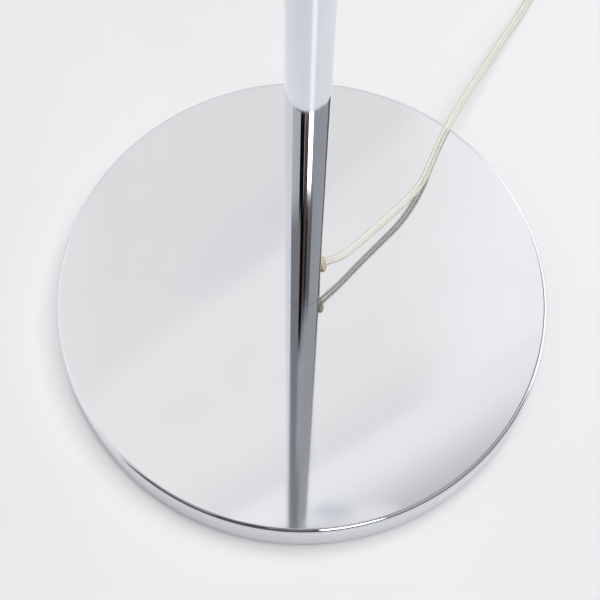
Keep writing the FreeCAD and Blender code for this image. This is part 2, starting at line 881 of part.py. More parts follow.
def switch_cover():
    """Upper shell: sides lean in, rounded shoulder, round opening for the button."""
    outside = Part.makeLoft([
        stadium(switch_length, switch_width, switch_split),
        stadium(switch_length - 2, switch_width - 2, 15),
        stadium(switch_length - 7, switch_width - 7, 20.5),
        stadium(switch_length - 15, switch_width - 14, switch_height),
    ], True, False)
    inside = Part.makeLoft([
        stadium(switch_length - 4, switch_width - 4, switch_split - 0.01),
        stadium(switch_length - 6, switch_width - 6, 14.5),
        stadium(switch_length - 12, switch_width - 12, 20.0),
        stadium(switch_length - 20, switch_width - 16, 22.0),
    ], True, False)
    shell = outside.cut(inside)
    opening = cylinder(button_radius + free_gap, 30, switch_centre)
    return cut_all(shell, [opening] + gland_seats())


def switch_glands():
    """Soft tapering glands that grip the lead at both ends of the switch."""
    glands = []
    plug_radius = gland_seat - running_gap
    for way in (1, -1):
        gland = turned([
            (0, -gland_plug), (plug_radius, -gland_plug), (plug_radius, 0), (5.6, 0),
            (5.6, 1.2, 0.5), (4.4, 2.4),
            (3.4, gland_length, 0.3), (0, gland_length),
        ])
        at = switch_centre + V(way * switch_length / 2, 0, switch_split)
        glands.append(turned_to(gland, ALONG_X * way, at))
    return Part.makeCompound(glands)


def switch_block():
    """Contact block with a socket for the button's spring."""
    block = Part.makeBox(38, 26, 8, switch_centre + V(-19, -13, switch_floor))
    socket = cylinder(9.5, 7, switch_centre + V(0, 0, 4))
    pivot = cylinder(3.0, 8, switch_centre + V(0, 0, 4))
    return block.cut(socket).fuse(pivot)


def spring_place(turn):
    return switch_centre + polar(spring_radius, 360 * turn, spring_foot + spring_pitch * turn)


def switch_spring():
    wire, start, _ = wound_wire(spring_place, spring_turns)
    gap = least_gap(spring_place, spring_turns, spring_wire)
    print("switch_spring least gap", round(gap, 2))
    return swept("switch_spring", wire, *start, spring_wire)


def switch_button():
    """Domed push button with a flange that keeps it in the opening."""
    flange = button_radius + 1.0
    button = turned([
        (0, 26.8), (7.0, 26.5, 6.0), (button_radius, 24.6, 1.6), (button_radius, 18.8),
        (flange, 18.8), (flange, 17.4), (button_radius - 2, 17.4),
        (button_radius - 2, 22.5, 1.0), (8.8, 22.5), (8.8, 16.2), (0, 16.2),
    ])
    button.translate(switch_centre)
    return button


def switch_screws():
    screws = []
    for place in switch_screw_places():
        screw = turned([
            (0, 0.3), (2.7, 0.3), (2.7, 1.3, 0.3), (1.5, 1.4), (1.5, 13.0), (0.6, 14.5), (0, 14.5),
        ])
        screw.translate(place)
        screws.append(screw)
    return Part.makeCompound(screws)


def plug_outline(width, thickness, corner, along):
    """A rounded rectangle square to the plug's axis; along is measured from its rear."""
    x = plug_rear.x - plug_neck - along
    half, rise = width / 2, thickness / 2
    middle = V(x, plug_rear.y, plug_rear.z)
    return closed_wire([
        (middle + V(0, -half, -rise), corner), (middle + V(0, half, -rise), corner),
        (middle + V(0, half, rise), corner), (middle + V(0, -half, rise), corner),
    ])


def plug_neck_profile():
    """Ribs that swell towards the plug, each cone parted from the next by a groove."""
    profile = [(0, 0)]
    for i in range(neck_ribs):
        low = neck_rib_pitch * i
        swell = 3.6 + 0.22 * i
        profile += [(swell - 0.3, low), (swell, low + 2.5), (swell - 0.4, low + 3.1)]
    return profile + [(swell, plug_neck + 1), (0, plug_neck + 1)]


def plug_body():
    """Flat two-pin plug moulded on the lead, waisted towards its ribbed neck."""
    body = Part.makeLoft([
        plug_outline(10, 9.5, 3.0, 0),
        plug_outline(17, 11.5, 4.0, 8),
        plug_outline(30, 13.2, 5.0, 20),
        plug_outline(plug_width, plug_thickness, 5.5, plug_length),
    ], True, False)
    neck = turned_to(turned(plug_neck_profile()), -ALONG_X, plug_rear)
    return body.fuse(neck)


def plug_pins():
    pins = []
    for side in (-1, 1):
        face = plug_rear + V(-plug_neck - plug_length, side * pin_spacing / 2, 0)
        lean = V(-pin_length, -side * 0.4, 0)
        pin = turned([
            (0, 0), (pin_radius - 0.15, 0), (pin_radius - 0.15, 10), (pin_radius, 10.2),
            (pin_radius, pin_length, 1.6), (0, pin_length),
        ])
        pins.append(turned_to(pin, lean, face))
    return Part.makeCompound(pins).cut(plug_body())


# ---- build --------------------------------------------------------------------------------
parts = [
    base_cover, base_weight, base_plate, base_pad, plate_screws, pole_stud, stud_washer,
    stud_nut, pole_foot, lower_tube, cord_grommet, lower_lead, slack_lead, clamp_collar,
    collar_screws, collar_bush, knob_grip, knob_screw, knob_tip, slide_guide, upper_tube,
    tube_head, nipple, nipple_nut, upper_lead, holder_seat, holder_cap, holder_shell,
    holder_block, thread_sleeve, centre_contact, bulb_cap, bulb_contact, bulb_glass, bulb_stem,
    bulb_filaments, shade_nut, shade_bottom_ring, shade_top_ring, shade_spider, shade_drum,
    cord_run, cord_lead, cord_coil, cord_tail, switch_base, switch_cover, switch_glands,
    switch_block, switch_spring, switch_button, switch_screws, plug_body, plug_pins,
]

os.makedirs("parts", exist_ok=True)
for part in parts:
    part().exportStep("parts/" + part.__name__ + ".step")
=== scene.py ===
"""Telescopic floor lamp in a pale studio: finishes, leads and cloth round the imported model.

Metres, +Z up, the origin at the centre of the round base on the floor.
"""

import json
import math

import bmesh
import bpy
from mathutils import Matrix, Vector


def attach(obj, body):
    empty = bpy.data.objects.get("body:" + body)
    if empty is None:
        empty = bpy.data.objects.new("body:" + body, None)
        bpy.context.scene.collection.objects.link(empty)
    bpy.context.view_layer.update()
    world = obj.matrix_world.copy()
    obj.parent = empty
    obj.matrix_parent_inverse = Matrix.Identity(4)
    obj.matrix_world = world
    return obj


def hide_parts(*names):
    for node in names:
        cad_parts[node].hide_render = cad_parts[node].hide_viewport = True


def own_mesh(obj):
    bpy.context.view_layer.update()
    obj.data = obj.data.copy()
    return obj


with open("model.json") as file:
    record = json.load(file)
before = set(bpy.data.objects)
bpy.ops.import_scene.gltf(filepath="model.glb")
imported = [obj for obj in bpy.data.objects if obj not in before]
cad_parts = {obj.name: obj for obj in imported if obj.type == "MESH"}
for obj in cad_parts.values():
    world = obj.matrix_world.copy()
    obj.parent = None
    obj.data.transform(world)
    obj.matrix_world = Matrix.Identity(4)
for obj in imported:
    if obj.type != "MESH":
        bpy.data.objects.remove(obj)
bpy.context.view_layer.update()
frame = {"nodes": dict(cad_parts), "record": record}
nodes = frame["nodes"]
scene = bpy.context.scene

# ---- sizes --------------------------------------------------------------------------------
UP = Vector((0, 0, 1))

base_top = 0.0345
base_radius = 0.175
tube_radius = 0.0125
tube_wall = 0.0012

exit_height = 0.071
exit_azimuth = math.radians(22)
flex_width = 0.0056
flex_thickness = 0.0032
slant_reach = 0.0075
flex_lean = math.radians(26)
flex_leaning = range(2, 14)
core_radius = 0.00078
core_offset = 0.0014
core_twists = 12

switch_centre = Vector((0.082, 0.372, 0.0))
gland_reach = 0.0495
switch_split = 0.009

coil_centre = Vector((-0.026, 0.334, 0.0))
coil_turns = 6
coil_middle = 0.030
coil_pitch = 0.0063
coil_bed = 0.0018
coil_layer = 0.0034
coil_points = 16

plug_rear = Vector((-0.086, 0.372, 0.0069))

lead_bottom = 0.104
lead_top = 0.596
lead_turns = 7
lead_sway = 0.0075

lead_end = 1.595

spring_wire = 0.00055
spring_radius = 0.007
spring_foot = 0.0054
spring_pitch = 0.00255
spring_turns = 4
helix_points = 12

base_edge_radius = 0.0035
cover_wall = 0.0012
hem_width = 0.008
stud_hole = 0.0053
pad_radius = 0.165
pad_pocket = 0.024
pad_thickness = 0.0024
pad_bottom = 0.0003
plate_screw_circle = 0.120
plate_screw_azimuths = (30, 150, 270)

holder_joint = 1.604
thread_radius = 0.0199
cap_bottom = 1.6135

shade_radius = 0.175
shade_low, shade_high = 1.562, 1.782
ring_wire = 0.0016
ring_reach = 0.1722
cloth = 0.0006
hem_flap = 0.007
arm_azimuths = (90, 210, 330)
lap_azimuth = 105


# ---- camera -------------------------------------------------------------------------------
def place_camera():
    """Looks steeply down on the base from in front, fitted to its two rims."""
    pitch = math.radians(66.753)
    yaw = math.radians(-0.258)
    roll = math.radians(1.397)
    forward = Vector((
        math.sin(yaw) * math.cos(pitch), math.cos(yaw) * math.cos(pitch), -math.sin(pitch),
    ))
    level = Vector((math.cos(yaw), -math.sin(yaw), 0))
    upward = level.cross(forward)
    right = level * math.cos(roll) + upward * math.sin(roll)
    top = upward * math.cos(roll) - level * math.sin(roll)
    data = bpy.data.cameras.new("photo_camera")
    data.sensor_width = 36.0
    data.lens = 75.744
    camera = bpy.data.objects.new("photo_camera", data)
    turn = Matrix((right, top, -forward)).transposed().to_4x4()
    camera.matrix_world = Matrix.Translation((0.0, -0.36153, 0.85801)) @ turn
    scene.collection.objects.link(camera)
    scene.camera = camera


place_camera()


# ---- pieces -------------------------------------------------------------------------------
def link(name, mesh, finish, body, slot, *stands_for):
    """Puts a finished mesh in the scene, on its body, in place of CAD nodes where it has any."""
    piece = bpy.data.objects.new(name, mesh)
    scene.collection.objects.link(piece)
    mesh.materials.clear()
    mesh.materials.append(finish)
    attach(piece, body)
    if stands_for:
        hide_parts(*stands_for)
    return piece


def smooth(mesh, angle=35):
    mesh.polygons.foreach_set("use_smooth", [True] * len(mesh.polygons))
    mesh.set_sharp_from_angle(angle=math.radians(angle))
    return mesh


def finished(name, shape, angle=35):
    """A mesh from a bmesh, its doubles merged and its faces turned outwards."""
    bmesh.ops.remove_doubles(shape, verts=shape.verts, dist=1e-6)
    bmesh.ops.recalc_face_normals(shape, faces=shape.faces)
    mesh = bpy.data.meshes.new(name)
    shape.to_mesh(mesh)
    shape.free()
    return smooth(mesh, angle)


def loop(shape, places, closed=True):
    """Points in a bmesh joined one to the next."""
    verts = [shape.verts.new(place) for place in places]
    following = verts[1:] + (verts[:1] if closed else [])
    edges = [shape.edges.new(pair) for pair in zip(verts, following)]
    return verts + edges


def spin_round(shape, profile, steps, closed=True):
    """Turns (radius, height) corners about the pole's axis; a third value rounds a corner."""
    outline = loop(shape, [(r, 0, z) for r, z, *_ in profile], closed)
    bmesh.ops.spin(
        shape, geom=outline, cent=(0, 0, 0), axis=(0, 0, 1), dvec=(0, 0, 0),
        angle=math.tau, steps=steps, use_merge=True,
    )
    bmesh.ops.remove_doubles(shape, verts=shape.verts, dist=1e-6)
    bmesh.ops.recalc_face_normals(shape, faces=shape.faces)
    for radius, height, *rounding in profile:
        if rounding:
            round_ring(shape, radius, height, rounding[0])


def round_ring(shape, radius, height, rounding, segments=5):
    """Rounds the ring of edges that a profile's corner has left."""
    def on_ring(vert):
        return abs(vert.co.z - height) < 2e-5 and abs(vert.co.xy.length - radius) < 2e-5

    ring = [e for e in shape.edges if on_ring(e.verts[0]) and on_ring(e.verts[1])]
    bmesh.ops.bevel(
        shape, geom=ring, offset=rounding, offset_type="OFFSET", segments=segments, profile=0.5,
        affect="EDGES", material=-1, clamp_overlap=True,
    )


def turned(name, profile, steps=96, angle=35):
    shape = bmesh.new()
    spin_round(shape, profile, steps)
    return finished(name, shape, angle)


def weigh_normals(piece):
    """Keeps wide flat faces flat in the shading where they meet narrow rounded ones."""
    weighted = piece.modifiers.new("flat_faces", "WEIGHTED_NORMAL")
    weighted.keep_sharp = True
    return piece


def add_ridge(shape, tooth, low, high, pitch, per_turn=40):
    """Winds a thread, from one height up to another, of a tooth given as (radius, height) corners."""
    ridge = bmesh.new()
    outline = loop(ridge, [(r, 0, low + z) for r, z in tooth])
    bmesh.ops.spin(
        ridge, geom=outline, cent=(0, 0, 0), axis=(0, 0, 1), dvec=(0, 0, pitch / per_turn),
        angle=math.tau, steps=per_turn, use_merge=False,
    )
    one_turn = ridge.verts[:] + ridge.edges[:] + ridge.faces[:]
    for turn in range(1, int((high - low) / pitch)):
        copy = bmesh.ops.duplicate(ridge, geom=one_turn)["geom"]
        verts = [g for g in copy if isinstance(g, bmesh.types.BMVert)]
        bmesh.ops.translate(ridge, verts=verts, vec=(0, 0, pitch * turn))
    bmesh.ops.remove_doubles(ridge, verts=ridge.verts, dist=1e-6)
    bmesh.ops.holes_fill(ridge, edges=[e for e in ridge.edges if e.is_boundary], sides=0)
    mesh = bpy.data.meshes.new("ridge")
    ridge.to_mesh(mesh)
    ridge.free()
    shape.from_mesh(mesh)
    bpy.data.meshes.remove(mesh)


# ---- the lead -----------------------------------------------------------------------------
def polar(radius, angle, height=0.0):
    return Vector((radius * math.cos(angle), radius * math.sin(angle), height))


def nurbs(name, points, section=None, level=True, roll=()):
    """A smooth curve with these control points, and a section along it where one is given."""
    data = bpy.data.curves.new(name, "CURVE")
    data.dimensions = "3D"
    data.twist_mode = "Z_UP" if level else "MINIMUM"
    data.resolution_u = 8
    spline = data.splines.new("NURBS")
    spline.points.add(len(points) - 1)
    for point, place in zip(spline.points, points):
        point.co = (*place, 1)
    for point, lean in zip(spline.points, roll):
        point.tilt = lean
    spline.order_u = 3
    spline.use_endpoint_u = True
    if section:
        data.bevel_mode = "OBJECT"
        data.bevel_object = section
    return bpy.data.objects.new(name, data)


def section_curve(name, outlines):
    """A flat curve of closed outlines, each a list of (across, up) points."""
    data = bpy.data.curves.new(name, "CURVE")
    data.dimensions = "2D"
    for outline in outlines:
        spline = data.splines.new("POLY")
        spline.points.add(len(outline) - 1)
        for point, (across, up) in zip(spline.points, outline):
            point.co = (across, up, 0, 1)
        spline.use_cyclic_u = True
    return bpy.data.objects.new(name, data)


def circle(radius, across=0.0, count=10):
    turns = [2 * math.pi * i / count for i in range(count)]
    return [(across + radius * math.cos(a), radius * math.sin(a)) for a in turns]


def twin_outline(count=28):
    """Outline of the flat twin lead: two round lobes with a shallow valley between them."""
    outline = []
    for i in range(count):
        angle = 2 * math.pi * i / count
        across = 0.5 * flex_width * math.cos(angle)
        valley = 1 - 0.26 * math.exp(-((across / 0.0007) ** 2))
        lobe = math.sqrt(max(0.0, 1 - abs(across / (0.5 * flex_width)) ** 3.2))
        up = 0.5 * flex_thickness * lobe * valley
        outline.append((across, math.copysign(up, math.sin(angle))))
    return outline


def swept(name, points, section, level=True, roll=()):
    """Mesh of a section along the smooth curve through a route's control points."""
    curve = nurbs(name, points, section, level, roll)
    scene.collection.objects.link(curve)
    shaped = curve.evaluated_get(bpy.context.evaluated_depsgraph_get())
    mesh = bpy.data.meshes.new_from_object(shaped)
    bpy.data.objects.remove(curve)
    return smooth(mesh, 60)


def centre_line(points):
    """Places along the same curve, read off it without a section."""
    curve = nurbs("centre_line", points)
    scene.collection.objects.link(curve)
    mesh = bpy.data.meshes.new_from_object(curve)
    bpy.data.objects.remove(curve)
    return [tuple(v.co) for v in mesh.vertices]


exit_out = polar(1, exit_azimuth)
exit_point = exit_out * (tube_radius - tube_wall / 2) + UP * exit_height
slant = (exit_out * 0.84 + polar(0.2, exit_azimuth + math.pi / 2) - UP * 0.6).normalized()
gland_right = switch_centre + Vector((gland_reach, 0, switch_split))
gland_left = switch_centre + Vector((-gland_reach, 0, switch_split))

run_route = [
    exit_point,
    exit_point + slant * slant_reach,
    Vector((0.0265, 0.0155, 0.0592)),
    Vector((0.0370, 0.0265, 0.0550)),
    Vector((0.0540, 0.0450, 0.0527)),
    Vector((0.0730, 0.0655, 0.0508)),
    Vector((0.0860, 0.0860, 0.0412)),
    Vector((0.0935, 0.1080, 0.0366)),
    Vector((0.1030, 0.1310, 0.0370)),
    Vector((0.1125, 0.1505, 0.0368)),
    Vector((0.1220, 0.1700, 0.0308)),
    Vector((0.1375, 0.2000, 0.0222)),
    Vector((0.1555, 0.2350, 0.0142)),
    Vector((0.1745, 0.2680, 0.0090)),
    Vector((0.1880, 0.2980, 0.0036)),
    Vector((0.1925, 0.3230, 0.0020)),
    Vector((0.1850, 0.3450, 0.0020)),
    Vector((0.1685, 0.3620, 0.0034)),
    Vector((0.1510, 0.3705, 0.0066)),
    gland_right + Vector((0.0095, 0, 0)),
    gland_right,
]


def coil_place(turn):
    """The coil's centre line: in along the floor, up a layer, and out again on top."""
    per_layer = coil_turns / 2
    inner = coil_middle - coil_pitch * per_layer / 2
    climb = min(max((turn - per_layer + 0.25) * 2, 0.0), 1.0)
    level = coil_bed + coil_layer * climb * climb * (3 - 2 * climb)
    angle = math.radians(90 + 360 * turn)
    return coil_centre + polar(inner + coil_pitch * abs(turn - per_layer), angle, level)


def coil_way(turn):
    return (coil_place(turn + 1e-3) - coil_place(turn - 1e-3)).normalized()


coil_route = [coil_place(i / coil_points) for i in range(coil_turns * coil_points + 1)]
coil_entry = coil_place(0) - coil_way(0) * flex_width
coil_exit = coil_place(coil_turns) + coil_way(coil_turns) * flex_width

flex_route = [
    *run_route,
    gland_left,
    gland_left + Vector((-0.0095, 0, 0)),
    gland_left + Vector((-0.0260, -0.0003, -0.0046)),
    coil_entry - coil_way(0) * 0.009,
    *coil_route,
    coil_exit,
    coil_exit + coil_way(coil_turns) * 0.009,
    plug_rear + Vector((0.0275, -0.0006, 0.0003)),
    plug_rear + Vector((0.0095, 0, 0)),
    plug_rear,
]


# ---- material nodes -----------------------------------------------------------------------
class Finish:
    """One material, with short calls for its nodes."""

    def __init__(self, name):
        self.material = bpy.data.materials.new(name)
        self.material.use_nodes = True
        self.tree = self.material.node_tree
        self.shader = self.tree.nodes["Principled BSDF"]
        self.place = self.add("ShaderNodeTexCoord").outputs["Object"]

    def add(self, kind, values=(), **settings):
        """A node with its settings, and values or links by input name or number."""
        node = self.tree.nodes.new(kind)
        for key, value in settings.items():
            setattr(node, key, value)
        for key, value in dict(values).items():
            self.feed(node.inputs[key], value)
        return node

    def feed(self, socket, value):
        if isinstance(value, bpy.types.NodeSocket):
            self.tree.links.new(value, socket)
        else:
            socket.default_value = value

    def sockets(self, **values):
        """Sets the shader's own sockets; an underscore stands for a space."""
        for key, value in values.items():
            self.feed(self.shader.inputs[key.replace("_", " ")], value)
        return self

    def math(self, operation, *values):
        return self.add("ShaderNodeMath", dict(enumerate(values)), operation=operation).outputs[0]

    def noise(self, scale, detail=4.0, rough=0.55, place=None):
        values = {"Vector": place or self.place, "Scale": scale, "Detail": detail, "Roughness": rough}
        return self.add("ShaderNodeTexNoise", values).outputs["Fac"]

    def stretched(self, x, y, z):
        """Object coordinates scaled along each axis."""
        values = {"Vector": self.place, "Scale": (x, y, z)}
        return self.add("ShaderNodeMapping", values).outputs["Vector"]

    def span(self, value, low, high, start=0.0, end=1.0):
        values = {"Value": value, "From Min": start, "From Max": end, "To Min": low, "To Max": high}
        return self.add("ShaderNodeMapRange", values).outputs["Result"]

    def tint(self, share, first, second):
        values = {0: share, 6: (*first, 1), 7: (*second, 1)}
        return self.add("ShaderNodeMix", values, data_type="RGBA").outputs[2]

    def bump(self, height, strength, depth=0.0002, under=None):
        values = {"Height": height, "Strength": strength, "Distance": depth}
        if under:
            values["Normal"] = under
        normal = self.add("ShaderNodeBump", values).outputs["Normal"]
        self.feed(self.shader.inputs["Normal"], normal)
        return normal


def chrome(name, tone=(0.728, 0.747, 0.786), haze=0.02, wave=0.0):
    """Polished plating: a clear mirror with faint wiping haze and hair-fine scratches."""
    finish = Finish(name)
    cloud = finish.noise(9, 3)
    wipe = finish.noise(1, 5, 0.6, finish.stretched(140, 900, 140))
    dull = tuple(0.97 * part for part in tone)
    finish.sockets(
        Base_Color=finish.tint(finish.span(cloud, 0, 1, 0.35, 0.65), tone, dull),
        Metallic=1.0,
        Roughness=finish.math("ADD", finish.span(cloud, haze, haze + 0.025), finish.span(wipe, 0, 0.01)),
    )
    hair = finish.bump(wipe, 0.012, 0.00002)
    if wave:
        finish.bump(finish.noise(30, 1), 1.0, wave, hair)
    return finish.material


def bare_metal(name, tone, rough=0.34, grain=(300, 300, 40)):
    """Plated or drawn metal with a fine grain and cloudy tone."""
    finish = Finish(name)
    streak = finish.noise(1, 6, 0.6, finish.stretched(*grain))
    cloud = finish.noise(60, 4)
    dark = tuple(0.8 * part for part in tone)
    finish.sockets(
        Base_Color=finish.tint(finish.span(cloud, 0, 1, 0.3, 0.7), dark, tone),
        Metallic=1.0,
        Roughness=finish.span(streak, rough - 0.08, rough + 0.12),
    )
    finish.bump(streak, 0.15, 0.00003)
    return finish.material


def moulded(name, tone, rough=0.36, glow=0.0, peel=900):
    """Moulded plastic: faint orange peel, faint flow clouds."""
    finish = Finish(name)
    cloud = finish.noise(35, 3)
    skin = finish.noise(peel, 2)
    shade = tuple(0.94 * part for part in tone)
    finish.sockets(
        Base_Color=finish.tint(finish.span(cloud, 0, 1, 0.3, 0.7), tone, shade),
        Roughness=finish.span(cloud, rough - 0.05, rough + 0.07),
        Specular_IOR_Level=0.5,
        Subsurface_Weight=glow,
        Subsurface_Radius=(0.003, 0.0025, 0.002),
        Subsurface_Scale=0.5,
    )
    finish.bump(skin, 0.08, 0.00003)
    return finish.material


def cast_concrete():
    finish = Finish("cast_ballast")
    cloud = finish.noise(22, 6, 0.62)
    grit = finish.noise(420, 3, 0.7)
    pits = finish.add("ShaderNodeTexVoronoi", {"Vector": finish.place, "Scale": 140}).outputs["Distance"]
    pitted = finish.span(pits, 0, 1, 0.05, 0.3)
    tone = finish.tint(finish.span(cloud, 0, 1, 0.3, 0.7), (0.3, 0.29, 0.27), (0.48, 0.47, 0.44))
    finish.sockets(Base_Color=tone, Roughness=finish.span(grit, 0.8, 0.97))
    first = finish.bump(pitted, 0.6, 0.0008)
    finish.bump(grit, 0.4, 0.0003, first)
    return finish.material


def foam():
    finish = Finish("foam_pad")
    cells = finish.add("ShaderNodeTexVoronoi", {"Vector": finish.place, "Scale": 900}).outputs["Distance"]
    cloud = finish.noise(45, 3)
    finish.sockets(
        Base_Color=finish.tint(cloud, (0.02, 0.02, 0.022), (0.05, 0.05, 0.053)),
        Roughness=finish.span(cells, 0.75, 0.95, 0, 0.6),
    )
    finish.bump(cells, 0.5, 0.0003)
    return finish.material


def clear_jacket(name, tone, dense, thin, thick):
    """Clear soft plastic, see-through face on, denser and yellower towards its edges."""
    finish = Finish(name)
    edge = finish.add("ShaderNodeLayerWeight", {"Blend": 0.45}).outputs["Facing"]
    cloud = finish.noise(120, 3)
    yellow = tuple(part * share for part, share in zip(tone, dense))
    finish.sockets(
        Base_Color=finish.tint(edge, tone, yellow),
        Roughness=finish.span(cloud, 0.26, 0.36),
        Alpha=finish.span(edge, thin, thick),
        Specular_IOR_Level=0.4,
        IOR=1.53,
    )
    finish.bump(finish.noise(160, 2), 0.03, 0.00005)
    return finish.material


def strands(name, valley, lit_crest):
    """Fine strands, twisted together, seen through the jacket, painted darker in the valleys between them
    as shade.
    """
    finish = Finish(name)
    along = finish.add("ShaderNodeTexCoord").outputs["UV"]
    split = finish.add("ShaderNodeSeparateXYZ", {0: along}).outputs
    round_it = finish.math("MULTIPLY", split[1], core_twists * math.tau)
    forward = finish.math("MULTIPLY", split[0], core_twists * math.tau)
    lay = finish.math("SINE", finish.math("ADD", round_it, forward))
    # the lay pattern paints the valleys darker than the crests: painted shade between the strands
    finish.sockets(
        Base_Color=finish.tint(finish.span(lay, 0, 1, -1, 1), valley, lit_crest),
        Roughness=0.4,
        Subsurface_Weight=0.6,
        Subsurface_Radius=(0.003, 0.0029, 0.0024),
        Subsurface_Scale=1.0,
    )
    finish.bump(lay, 0.02, 0.00003)
    return finish.material


def glass(name, tone=(0.96, 0.98, 0.98), clear=0.9):
    finish = Finish(name)
    wave = finish.noise(40, 2)
    finish.sockets(
        Base_Color=finish.tint(wave, tone, tuple(0.98 * part for part in tone)),
        Roughness=finish.span(wave, 0.0, 0.03),
        Transmission_Weight=clear,
        IOR=1.5,
    )
    finish.bump(wave, 0.03, 0.0002)
    return finish.material


def shade_fabric():
    """Plain off-white weave: threads over and under, with slubs, on a bright film."""
    finish = Finish("shade_cloth")
    pitch = 0.0007
    split = finish.add("ShaderNodeSeparateXYZ", {0: finish.place}).outputs
    round_it = finish.math("MULTIPLY", finish.math("ARCTAN2", split[1], split[0]), shade_radius)
    warp = finish.math("SINE", finish.math("MULTIPLY", round_it, math.pi / pitch))
    weft = finish.math("SINE", finish.math("MULTIPLY", split[2], math.pi / pitch))
    over = finish.math("MULTIPLY", warp, weft)
    slub_up = finish.noise(1, 4, 0.6, finish.stretched(1400, 1400, 18))
    slub_round = finish.noise(1, 4, 0.6, finish.stretched(22, 22, 1400))
    slub = finish.math("ADD", slub_up, slub_round)
    share = finish.span(finish.math("ADD", finish.math("MULTIPLY", over, 0.25), slub), 0, 1, 0.5, 1.5)
    finish.sockets(
        Base_Color=finish.tint(share, (0.66, 0.63, 0.56), (0.84, 0.82, 0.76)),
        Roughness=finish.span(slub, 0.75, 0.95, 0.6, 1.4),
        Sheen_Weight=0.25,
        Sheen_Roughness=0.4,
        Subsurface_Weight=0.25,
        Subsurface_Radius=(0.004, 0.0035, 0.003),
        Subsurface_Scale=0.6,
    )
    first = finish.bump(over, 0.35, 0.00015)
    finish.bump(slub, 0.35, 0.00025, first)
    return finish.material


def powder_coat():
    finish = Finish("white_wire")
    skin = finish.noise(1300, 3, 0.6)
    finish.sockets(
        Base_Color=finish.tint(skin, (0.78, 0.78, 0.76), (0.86, 0.86, 0.85)),
        Roughness=finish.span(skin, 0.35, 0.55),
    )
    finish.bump(skin, 0.25, 0.00008)
    return finish.material


finishes = {
    "polished_chrome": chrome("polished_chrome", (0.772, 0.80, 0.848)),
    "zinc_steel": bare_metal("zinc_steel", (0.55, 0.56, 0.57)),
    "cast_ballast": cast_concrete(),
    "foam_pad": foam(),
    "clear_flex": clear_jacket("clear_flex", (0.88, 0.865, 0.80), (0.60, 0.57, 0.48), 0.2, 0.9),
    "clear_gland": clear_jacket("clear_gland", (0.72, 0.64, 0.45), (0.7, 0.62, 0.45), 0.6, 0.95),
    "white_plastic": moulded("white_plastic", (0.82, 0.82, 0.80), 0.34, 0.12),
    "guide_nylon": moulded("guide_nylon", (0.74, 0.74, 0.69), 0.48, 0.2),
    "holder_white": moulded("holder_white", (0.80, 0.80, 0.78), 0.3, 0.1),
    "block_grey": moulded("block_grey", (0.12, 0.12, 0.125), 0.5),
    "holder_ceramic": moulded("holder_ceramic", (0.82, 0.80, 0.74), 0.6, 0.0, 400),
    "contact_brass": bare_metal("contact_brass", (0.80, 0.60, 0.28), 0.28),
    "pin_nickel": bare_metal("pin_nickel", (0.72, 0.70, 0.66), 0.22, (60, 600, 600)),
    "cap_aluminium": bare_metal("cap_aluminium", (0.78, 0.78, 0.79), 0.26),
    "bulb_clear_glass": glass("bulb_clear_glass"),
    "filament_yellow": moulded("filament_yellow", (0.90, 0.66, 0.18), 0.55, 0.0, 2500),
    "shade_cloth": shade_fabric(),
    "white_wire": powder_coat(),
}

for row in frame["record"]["subparts"]:
    mesh = nodes[row["node"]].data
    mesh.materials.clear()
    mesh.materials.append(finishes[row["material_slot"]])


# ---- the free lead ------------------------------------------------------------------------
twin_section = section_curve("twin_section", [twin_outline()])
core_sections = {
    "tinned": section_curve("tinned_section", [circle(core_radius, -core_offset)]),
    "shaded_core": section_curve("shaded_core_section", [circle(core_radius, core_offset)]),
}
# the second core gets the first core's strands painted darker: painted shade on its lobe
core_finishes = {
    "tinned": strands("tinned_strands", (0.83, 0.815, 0.755), (0.86, 0.845, 0.785)),
    "shaded_core": strands("shaded_core_strands", (0.66, 0.625, 0.56), (0.69, 0.655, 0.59)),
}
flex_roll = [flex_lean if i in flex_leaning else 0.0 for i in range(len(flex_route))]
jacket = link(
    "flex_jacket", swept("flex_jacket", flex_route, twin_section, roll=flex_roll), finishes["clear_flex"],
    "root", "clear_flex", "cord_run", "cord_lead", "cord_coil", "cord_tail",
)
cores = [
    link(f"flex_{side}", swept(f"flex_{side}", flex_route, core_sections[side], roll=flex_roll),
         core_finishes[side], "root", "clear_flex")
    for side in core_sections
]
centre_line(flex_route)


# ---- hidden leads and the switch's spring --------------------------------------------------
def slack_place(turn):
    swell = min(turn, lead_turns - turn, 1.0)
    smooth_swell = swell * swell * (3 - 2 * swell)
    rise = (lead_top - lead_bottom) / lead_turns
    return polar(lead_sway * smooth_swell, math.tau * turn, lead_bottom + rise * turn)


def inner_lead(name, route, body, node):
    """A stretch of the same lead inside the pole, jacket and cores."""
    outer = swept(name + "_jacket", route, twin_section, level=False)
    pieces = [link(name + "_jacket", outer, finishes["clear_flex"], body, "clear_flex", node)]
    for side, section in core_sections.items():
        inner = swept(f"{name}_{side}", route, section, level=False)
        pieces.append(link(f"{name}_{side}", inner, core_finishes[side], body, "clear_flex"))
    return pieces


inner_lead(
    "foot_lead",
    [exit_point, exit_point - slant * 0.011, UP * (lead_bottom - 0.014), UP * lead_bottom],
    "root", "lower_lead",
)
inner_lead("pole_lead", [UP * lead_top, UP * 1.1, UP * lead_end], "upper_pole", "upper_lead")
slack_route = [slack_place(i / helix_points) for i in range(lead_turns * helix_points + 1)]
for piece in inner_lead("slack_coil", slack_route, "root", "slack_lead"):
    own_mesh(piece)

spring_section = section_curve("spring_section", [circle(spring_wire, 0, 8)])
spring_route = [
    switch_centre + polar(
        spring_radius, math.tau * i / helix_points, spring_foot + spring_pitch * i / helix_points,
    )
    for i in range(spring_turns * helix_points + 1)
]
spring = link(
    "spring_coil", swept("spring_coil", spring_route, spring_section), finishes["zinc_steel"],
    "root", "zinc_steel", "switch_spring",
)
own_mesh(spring)


